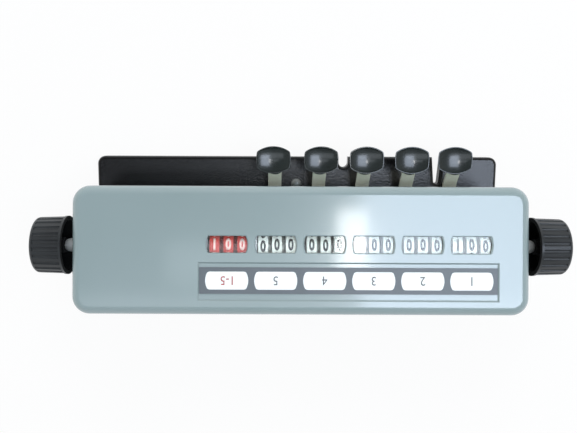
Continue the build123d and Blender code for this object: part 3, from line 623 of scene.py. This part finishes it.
class Bench:
    """The modelling calls that the pieces share."""

    curve_steps = 5
    merge_distance = 1e-7

    @staticmethod
    def clear_selection() -> None:
        """Deselects everything."""
        if bpy.context.object and bpy.context.object.mode != "OBJECT":
            bpy.ops.object.mode_set(mode="OBJECT")
        bpy.ops.object.select_all(action="DESELECT")

    @staticmethod
    def keep_active(piece: bpy.types.Object) -> None:
        """Makes a piece the only one selected."""
        Bench.clear_selection()
        piece.select_set(True)
        bpy.context.view_layer.objects.active = piece

    @staticmethod
    def thicken(depth: float) -> None:
        """Extrudes the flat mesh in edit mode upwards, closes it and leaves edit mode."""
        bpy.ops.mesh.select_all(action="SELECT")
        bpy.ops.mesh.extrude_region_move(TRANSFORM_OT_translate={"value": (0, 0, depth)})
        bpy.ops.mesh.select_all(action="SELECT")
        bpy.ops.mesh.normals_make_consistent(inside=False)
        bpy.ops.object.mode_set(mode="OBJECT")

    @staticmethod
    def write(
        text: str, height: float, condense: float, weight: float, depth: float
    ) -> bpy.types.Object:
        """Sets one line of figures as a mesh, centred on the origin and facing +Z.

        Args:
            text: The figures.
            height: The figures' height.
            condense: Their width as a share of the type's own.
            weight: How much the strokes are fattened before the line is brought to size.
            depth: The print's thickness.

        Returns:
            The mesh object.
        """
        Bench.clear_selection()
        bpy.ops.object.text_add()
        line = bpy.context.object
        line.data.body = text
        line.data.align_x = "CENTER"
        line.data.align_y = "CENTER"
        line.data.resolution_u = Bench.curve_steps
        line.data.offset = weight
        bpy.ops.object.convert(target="MESH")
        corners = [Vector(corner) for corner in line.bound_box]
        low = Vector(map(min, *corners))
        high = Vector(map(max, *corners))
        middle = (low + high) / 2
        scale = height / (high.y - low.y)
        for vertex in line.data.vertices:
            vertex.co.x = (vertex.co.x - middle.x) * scale * condense
            vertex.co.y = (vertex.co.y - middle.y) * scale
            vertex.co.z = -depth / 2
        bpy.ops.object.mode_set(mode="EDIT")
        bpy.ops.mesh.select_all(action="SELECT")
        bpy.ops.mesh.remove_doubles(threshold=Bench.merge_distance)
        Bench.thicken(depth)
        return line

    @staticmethod
    def slice_across(piece: bpy.types.Object, heights: list[float]) -> None:
        """Cuts a piece's faces along lines across Y, so that it can bend.

        Args:
            piece: The piece.
            heights: Each line's Y.
        """
        Bench.keep_active(piece)
        bpy.ops.object.mode_set(mode="EDIT")
        for height in heights:
            bpy.ops.mesh.select_all(action="SELECT")
            bpy.ops.mesh.bisect(plane_co=(0, height, 0), plane_no=(0, 1, 0))
        bpy.ops.object.mode_set(mode="OBJECT")

    @staticmethod
    def merge(pieces: list[bpy.types.Object], name: str) -> bpy.types.Object:
        """Joins pieces into one.

        Args:
            pieces: The pieces.
            name: The name of what they become.

        Returns:
            The one piece.
        """
        Bench.keep_active(pieces[0])
        for piece in pieces[1:]:
            piece.select_set(True)
        bpy.ops.object.join()
        whole = bpy.context.object
        whole.name = name
        return whole

    @staticmethod
    def copy_of(piece: bpy.types.Object, name: str) -> bpy.types.Object:
        """Copies a piece with a mesh of its own.

        Args:
            piece: The piece.
            name: The copy's name.

        Returns:
            The copy.
        """
        twin = piece.copy()
        twin.data = piece.data.copy()
        twin.name = name
        bpy.context.collection.objects.link(twin)
        return twin


# Pieces


@dataclass
class FacePlane:
    """The sloping face's own axes, read from the frame."""

    tilt: float = radians(7.0)
    lens_top_depth: float = 1.6 * MM
    front_edge_y: float = -23.2 * MM

    def __post_init__(self) -> None:
        """Works out the axes and a point of the face."""
        self.across = Vector((1, 0, 0))
        self.along = Vector((0, cos(self.tilt), sin(self.tilt)))
        self.out = Vector((0, -sin(self.tilt), cos(self.tilt)))
        low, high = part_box("window_lens")
        lens_back_top = Vector((0, high.y, high.z))
        self.origin = lens_back_top + self.out * self.lens_top_depth

    def front_edge(self) -> Vector:
        """The face's front edge, where its plane meets the front wall's."""
        reach = (self.front_edge_y - self.origin.y) / self.along.y
        return self.origin + self.along * reach

    def at(self, x: float, point: Vector, depth: float) -> Matrix:
        """A frame on the face, or below it, abreast of a point.

        Args:
            x: The place along X.
            point: Any point with the wanted place along the face.
            depth: How far below the face's surface.

        Returns:
            The matrix that puts a flat piece there, its top to the back.
        """
        reach = (point - self.origin).dot(self.along)
        place = self.origin + self.along * reach - self.out * depth
        place.x = x
        turn = Matrix((self.across, self.along, self.out)).transposed().to_4x4()
        return Matrix.Translation(place) @ turn


@dataclass
class NumberWheels:
    """The ten digits round each number wheel."""

    wardrobe: Wardrobe
    face: FacePlane
    digit_height: float = 6.1 * MM
    condense: float = 0.68
    print_depth: float = 0.06 * MM
    print_rise: float = 0.03 * MM
    stroke_weight: float = 0.05
    slices: int = 6
    radius: float = field(init=False)
    resting_shift: float = -5.6
    shown: dict[str, int] = field(
        default_factory=lambda: {"counter_1_units": 1, "total_units": 1}
    )
    strays: dict[str, float] = field(
        default_factory=lambda: {
            "counter_1_tens": -1.4,
            "counter_1_hundreds": 2.2,
            "counter_2_tens": -0.8,
            "counter_2_hundreds": 1.0,
            "counter_3_units": 0.6,
            "counter_4_tens": 1.6,
            "counter_4_hundreds": -0.5,
            "counter_5_units": 4.5,
            "total_tens": -0.5,
        }
    )

    def __post_init__(self) -> None:
        """Reads the wheels' radius from the frame."""
        low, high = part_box("counter_1_units_wheel")
        self.radius = (high.z - low.z) / 2

    def build(self) -> None:
        """Builds one column of digits and wraps a copy round every wheel."""
        column = self.column()
        for station in STATION_NAMES:
            ink = DIGIT_WHITE if station == "total" else DIGIT_BLACK
            for place in Place:
                key = f"{station}_{place.value}"
                digits = Bench.copy_of(column, f"{key}_digits")
                stray = radians(self.resting_shift + self.strays.get(key, 0.0))
                self.wrap(digits, f"{key}_wheel", stray - DIGIT_STEP * self.shown.get(key, 0))
                self.wardrobe.dress(digits, ink)
                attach(digits, key)
                log.info("digits of %s", key)
        bpy.data.objects.remove(column)

    def column(self) -> bpy.types.Object:
        """Makes the ten digits in a flat column, one step of the wheel apart.

        Returns:
            The column, with arc angle in radians along Y.
        """
        figures = []
        cuts = [self.digit_height * (i / self.slices - 0.5) for i in range(1, self.slices)]
        for digit in range(DIGIT_COUNT):
            figure = Bench.write(
                str(digit), self.digit_height, self.condense, self.stroke_weight, self.print_depth
            )
            Bench.slice_across(figure, cuts)
            for vertex in figure.data.vertices:
                vertex.co.y = vertex.co.y / self.radius + DIGIT_STEP * digit
            figures.append(figure)
        return Bench.merge(figures, "digit_column")

    def wrap(self, digits: bpy.types.Object, wheel: str, turn: float) -> None:
        """Bends a column of digits round its wheel.

        Args:
            digits: The column.
            wheel: The wheel's node.
            turn: The angle of the first digit from the face's normal.
        """
        low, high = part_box(wheel)
        axis = (low + high) / 2
        rim_centre = high.x - HALF_WHEEL
        for vertex in digits.data.vertices:
            angle = vertex.co.y + turn
            radius = self.radius + vertex.co.z - self.print_depth / 2 + self.print_rise
            outward = self.face.out * cos(angle) + self.face.along * sin(angle)
            place = axis + outward * radius
            vertex.co = (rim_centre + vertex.co.x, place.y, place.z)


@dataclass
class LabelStrip:
    """The white cells on the label plate and the number in each."""

    wardrobe: Wardrobe
    face: FacePlane
    cell_length: float = 21.6 * MM
    cell_height: float = 9.0 * MM
    end_bow: float = 1.25 * MM
    corner: float = 1.1 * MM
    cell_depth: float = 0.05 * MM
    cell_rows: int = 12
    corner_segments: int = 4
    corner_share: float = 0.49
    print_depth: float = 0.03 * MM
    plate_top_depth: float = 0.3 * MM
    figure_height: float = 4.4 * MM
    condense: float = 0.9

    def build(self) -> None:
        """Builds the cells and prints the numbers."""
        low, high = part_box("label_plate")
        middle = (low + high) / 2
        cells = []
        for station in STATION_NAMES:
            place = self.face.at(self.window_x(station), middle, self.plate_top_depth)
            cells.append(self.cell(place))
            self.number(station, place)
        strip = Bench.merge(cells, "label_cells")
        self.wardrobe.dress(strip, CELL)
        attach(strip, "housing")
        log.info("label cells")

    @staticmethod
    def window_x(station: str) -> float:
        """The X of a station's window.

        Args:
            station: The station's name.

        Returns:
            The middle of its tens wheel, without the wheels' own shift.
        """
        low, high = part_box(f"{station}_tens_wheel")
        return high.x - HALF_WHEEL + GROUP_SHIFT

    def cell(self, place: Matrix) -> bpy.types.Object:
        """One white cell with bowed ends.

        Args:
            place: Where it lies.

        Returns:
            The cell.
        """
        Bench.clear_selection()
        bpy.ops.mesh.primitive_grid_add(x_subdivisions=1, y_subdivisions=self.cell_rows, size=1)
        cell = bpy.context.object
        half = self.cell_length / 2
        for vertex in cell.data.vertices:
            side = 1 if vertex.co.x > 0 else -1
            fall = (2 * vertex.co.y) ** 2
            vertex.co.x = side * (half - self.end_bow * fall)
            vertex.co.y *= self.cell_height
        bpy.ops.object.mode_set(mode="EDIT")
        bpy.ops.mesh.select_all(action="DESELECT")
        bpy.ops.object.mode_set(mode="OBJECT")
        for vertex in cell.data.vertices:
            vertex.select = abs(vertex.co.y) > self.cell_height * self.corner_share
        bpy.ops.object.mode_set(mode="EDIT")
        bpy.ops.mesh.select_mode(type="VERT")
        bpy.ops.mesh.bevel(offset=self.corner, segments=self.corner_segments, affect="VERTICES")
        Bench.thicken(self.cell_depth)
        cell.data.transform(place)
        return cell

    def number(self, station: str, place: Matrix) -> None:
        """Prints a cell's number.

        Args:
            station: The station's name.
            place: Where its cell lies.
        """
        is_total = station == "total"
        text = "1-5" if is_total else station[-1]
        figure = Bench.write(text, self.figure_height, self.condense, 0.0, self.print_depth)
        figure.name = f"{station}_number"
        figure.data.transform(Matrix.Translation((0, 0, self.cell_depth + self.print_depth / 2)))
        figure.data.transform(place)
        self.wardrobe.dress(figure, PRINT_RED if is_total else PRINT_GREY)
        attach(figure, "housing")
        log.info("number of %s", station)


# Studio


@dataclass(frozen=True)
class Lamp:
    """One flat lamp. Its glow is its radiance, where 1 looks white."""

    name: str
    place: Point
    size: tuple[float, float]
    glow: float
    tint: Colour = WHITE
    target: Point | None = None
    shows_in_gloss: bool = True

    def hang(self) -> None:
        """Hangs the lamp, facing its target or else straight down."""
        data = bpy.data.lights.new(self.name, "AREA")
        data.shape = "RECTANGLE"
        data.size, data.size_y = self.size
        data.energy = self.glow * self.size[0] * self.size[1] * pi
        data.color = self.tint
        lamp = bpy.data.objects.new(self.name, data)
        bpy.context.collection.objects.link(lamp)
        place = Vector(self.place)
        aim = Vector(self.target) - place if self.target else Vector((0, 0, -1))
        lamp.location = place
        lamp.rotation_euler = aim.to_track_quat("-Z", "Y").to_euler()
        lamp.visible_glossy = self.shows_in_gloss


BLUE_LIGHT: Colour = (0.73, 0.83, 1.0)
COOL_LIGHT: Colour = (0.85, 0.92, 1.0)
CASE_MIDDLE: Point = (0.0, 0.0, 0.05)

PANELS = (
    Lamp("ceiling_lamp", (-0.278, -0.15, 2.062), (0.1, 0.26), 16.0),
    Lamp("overhead_panel", (-0.7, -0.1, 2.0), (0.8, 0.9), 6.3, BLUE_LIGHT),
    Lamp("back_panel", (-0.05, 0.13, 1.0), (0.92, 0.2), 1.4, COOL_LIGHT),
    Lamp("middle_panel", (0.05, -0.08, 2.0), (0.66, 0.15), 1.6, COOL_LIGHT),
)
FILLS = tuple(
    Lamp(name, place, (side, side), glow, target=CASE_MIDDLE, shows_in_gloss=False)
    for name, place, side, glow in (
        ("near_key", (-0.55, -0.05, 0.55), 0.2, 3.0),
        ("left_fill", (0.9, 0.3, 0.9), 0.5, 1.0),
        ("front_fill", (0.0, -1.0, 0.8), 0.5, 6.5),
    )
)


@dataclass
class Studio:
    """The floor, the world, the lamps and the camera."""

    floor_half: float = 3.0
    floor_colour: Colour = (0.82, 0.82, 0.82)
    floor_roughness: float = 0.9
    floor_glow: float = 0.9
    floor_gloss: float = 0.5
    world_level: float = 0.545
    zenith_level: float = 0.05
    world_tint: Colour = (0.97, 1.0, 1.0)
    camera_distance: float = 323.5 * MM
    camera_x: float = 15.27 * MM
    camera_reach: float = 15.4 * MM
    camera_roll: float = 0.25
    sensor_width: float = 36.0
    focal_pixels: float = 647.0
    centre_shift: float = 18.0
    image_width: float = 577.0
    nearest: float = 0.01

    def build(self, face: FacePlane) -> None:
        """Builds the whole studio.

        Args:
            face: The plane that the camera looks at.
        """
        self.floor()
        self.world()
        for lamp in (*PANELS, *FILLS):
            lamp.hang()
        self.camera(face)
        bpy.context.scene.view_settings.view_transform = "Standard"

    def floor(self) -> None:
        """Lays the pale floor, near white to the eye and through glass, duller in gloss."""
        Bench.clear_selection()
        bpy.ops.mesh.primitive_plane_add(size=2 * self.floor_half)
        floor = bpy.context.object
        floor.name = "studio_floor"
        material = bpy.data.materials.new("pale_floor")
        material.use_nodes = True
        sheet = NodeSheet(material.node_tree)
        sheet.feed(sheet.shader.inputs["Base Color"], self.floor_colour)
        sheet.feed(sheet.shader.inputs["Roughness"], self.floor_roughness)
        sheet.feed(sheet.shader.inputs["Specular IOR Level"], 0.0)
        glow = sheet.add("ShaderNodeEmission", Color=WHITE, Strength=1.0)
        rays = sheet.add("ShaderNodeLightPath")
        share = sheet.scale_range(rays.outputs["Is Glossy Ray"], 0.0, self.floor_gloss)
        for name in ("Is Camera Ray", "Is Transmission Ray"):
            seen = sheet.scale_range(rays.outputs[name], 0.0, self.floor_glow)
            share = sheet.maths("MAXIMUM", share, seen)
        sheet.show(sheet.blend(share, sheet.shader.outputs["BSDF"], glow.outputs["Emission"]))
        floor.data.materials.append(material)

    def world(self) -> None:
        """Sets the world: white to the eye, darker overhead in gloss, plain as a light."""
        world = bpy.data.worlds.new("pale_world")
        world.use_nodes = True
        bpy.context.scene.world = world
        sheet = NodeSheet(world.node_tree)
        rays = sheet.add("ShaderNodeLightPath")
        place = sheet.add("ShaderNodeTexCoord")
        height = sheet.add("ShaderNodeSeparateXYZ", Vector=place.outputs["Generated"])
        dome = sheet.scale_range(height.outputs["Z"], 1.0, self.zenith_level)
        in_gloss = sheet.mix(dome, BLACK, WHITE)
        as_light = tuple(self.world_level * part for part in self.world_tint)
        unseen = sheet.mix(rays.outputs["Is Glossy Ray"], as_light, in_gloss)
        is_seen = sheet.maths(
            "MAXIMUM", rays.outputs["Is Camera Ray"], rays.outputs["Is Transmission Ray"]
        )
        backdrop = world.node_tree.nodes["Background"]
        sheet.feed(backdrop.inputs["Color"], sheet.mix(is_seen, unseen, WHITE))
        sheet.feed(backdrop.inputs["Strength"], 1.0)

    def camera(self, face: FacePlane) -> None:
        """Sets the camera square to the face, the photograph's way up.

        Args:
            face: The plane that it looks at.
        """
        data = bpy.data.cameras.new("photo_camera")
        data.sensor_width = self.sensor_width
        data.lens = self.focal_pixels * data.sensor_width / self.image_width
        data.shift_x = self.centre_shift / self.image_width
        data.clip_start = self.nearest
        camera = bpy.data.objects.new("photo_camera", data)
        bpy.context.collection.objects.link(camera)
        eye = face.front_edge() + face.along * self.camera_reach + face.out * self.camera_distance
        eye.x = self.camera_x
        turn = Matrix((-face.across, -face.along, face.out)).transposed().to_4x4()
        roll = Matrix.Rotation(radians(self.camera_roll), 4, "Z")
        camera.matrix_world = Matrix.Translation(eye) @ turn @ roll
        bpy.context.scene.camera = camera


def main() -> None:
    """Builds the dressed object and its studio."""
    logging.basicConfig(level=logging.INFO, format="%(name)s: %(message)s")
    wardrobe = Wardrobe()
    wardrobe.dress_nodes()
    face = FacePlane()
    NumberWheels(wardrobe, face).build()
    LabelStrip(wardrobe, face).build()
    Studio().build(face)


if __name__ == "__main__":
    main()
